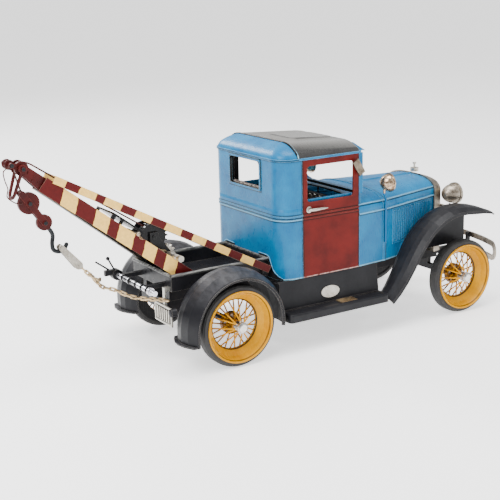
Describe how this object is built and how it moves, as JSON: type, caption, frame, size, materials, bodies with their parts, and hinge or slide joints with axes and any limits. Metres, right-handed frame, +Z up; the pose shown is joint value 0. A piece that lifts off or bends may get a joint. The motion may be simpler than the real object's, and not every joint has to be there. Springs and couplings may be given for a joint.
{
  "type": "tow truck",
  "caption": "Small painted-metal model of an early light pickup tow truck, with wire wheels, an open bed, a striped A-frame boom, a winch and a hanging hook.",
  "frame": {"origin": "on the floor, midway along the whole length and on the centre plane", "axes": "+X forward, +Y to the left, +Z up"},
  "size_m": [0.4116, 0.136, 0.1595],
  "materials": {
    "tyre_black": "matt",
    "wheel_yellow": "worn gloss",
    "door_maroon": "worn satin",
    "cab_blue": "worn satin",
    "roof_black": "satin",
    "stripe_paint": "cream and maroon stripes",
    "maroon_paint": "worn satin",
    "aged_chrome": "aged",
    "dark_steel": "dark",
    "seat_brown": "matt",
    "body_black": "satin"
  },
  "bodies": {
    "truck": {"apron_plates": "aged_chrome", "aprons": "body_black", "bed": "body_black", "bed_sills": "body_black", "boom_braces": "stripe_paint", "boom_head": "maroon_paint", "boom_legs": "stripe_paint", "brake_drums": "wheel_yellow", "bumper_irons": "body_black", "cab_floor": "body_black", "cab_shell": "cab_blue", "chain_sling": "dark_steel", "chassis_frame": "body_black", "cowl": "cab_blue", "cowl_lamps": "aged_chrome", "door_handles": "aged_chrome", "doors": "door_maroon", "front_axle": "body_black", "front_bumper": "aged_chrome", "front_fenders": "body_black", "headlight_bar": "aged_chrome", "headlights": "aged_chrome", "hoist_cable": "dark_steel", "hood": "cab_blue", "hook": "dark_steel", "hook_block": "maroon_paint", "link_plate": "aged_chrome", "radiator_cap": "aged_chrome", "radiator_core": "body_black", "radiator_shell": "aged_chrome", "rear_axle": "body_black", "rear_fenders": "body_black", "roof": "cab_blue", "roof_panel": "roof_black", "running_boards": "body_black", "seat": "seat_brown", "steering_wheel": "body_black", "step_plates": "aged_chrome", "tag_plate": "aged_chrome", "tail_lamp": "body_black", "tie_plate": "body_black", "tie_rod": "aged_chrome", "tow_bar": "aged_chrome", "tow_brackets": "body_black", "tow_clamp": "dark_steel", "visor": "cab_blue", "winch_frame": "body_black", "wind_wings": "aged_chrome", "windscreen_frame": "cab_blue"},
    "wheel_rear_left": {"tyre_rear_left": "tyre_black", "wire_wheel_rear_left": "wheel_yellow"},
    "wheel_rear_right": {"tyre_rear_right": "tyre_black", "wire_wheel_rear_right": "wheel_yellow"},
    "wheel_front_left": {"tyre_front_left": "tyre_black", "wire_wheel_front_left": "wheel_yellow"},
    "wheel_front_right": {"tyre_front_right": "tyre_black", "wire_wheel_front_right": "wheel_yellow"},
    "winch": {"winch_drum": "body_black"},
    "crank": {"winch_crank": "aged_chrome"},
    "bail_body": {"bail": "dark_steel"}
  },
  "joints": [
    {"name": "roll_rear_left", "type": "hinge", "parent": "truck", "child": "wheel_rear_left", "pos_m": [-0.0622, 0.058, 0.0307], "axis": [0, 1, 0], "continuous": true},
    {"name": "roll_rear_right", "type": "hinge", "parent": "truck", "child": "wheel_rear_right", "pos_m": [-0.0622, -0.058, 0.0307], "axis": [0, 1, 0], "continuous": true},
    {"name": "roll_front_left", "type": "hinge", "parent": "truck", "child": "wheel_front_left", "pos_m": [0.1565, 0.058, 0.0307], "axis": [0, 1, 0], "continuous": true},
    {"name": "roll_front_right", "type": "hinge", "parent": "truck", "child": "wheel_front_right", "pos_m": [0.1565, -0.058, 0.0307], "axis": [0, 1, 0], "continuous": true},
    {"name": "winch_turn", "type": "hinge", "parent": "truck", "child": "winch", "pos_m": [-0.1028, 0, 0.094], "axis": [0, 1, 0], "continuous": true},
    {"name": "crank_turn", "type": "hinge", "parent": "truck", "child": "crank", "pos_m": [-0.09221, 0, 0.08], "axis": [0, 1, 0], "continuous": true},
    {"name": "bail_swing", "type": "hinge", "parent": "truck", "child": "bail_body", "pos_m": [-0.1962, 0, 0.1544], "axis": [0, 1, 0], "range_deg": [-8, 64]}
  ],
  "couplings": [
    {"joint": "crank_turn", "follows": "winch_turn", "ratio": -1.75}
  ]
}
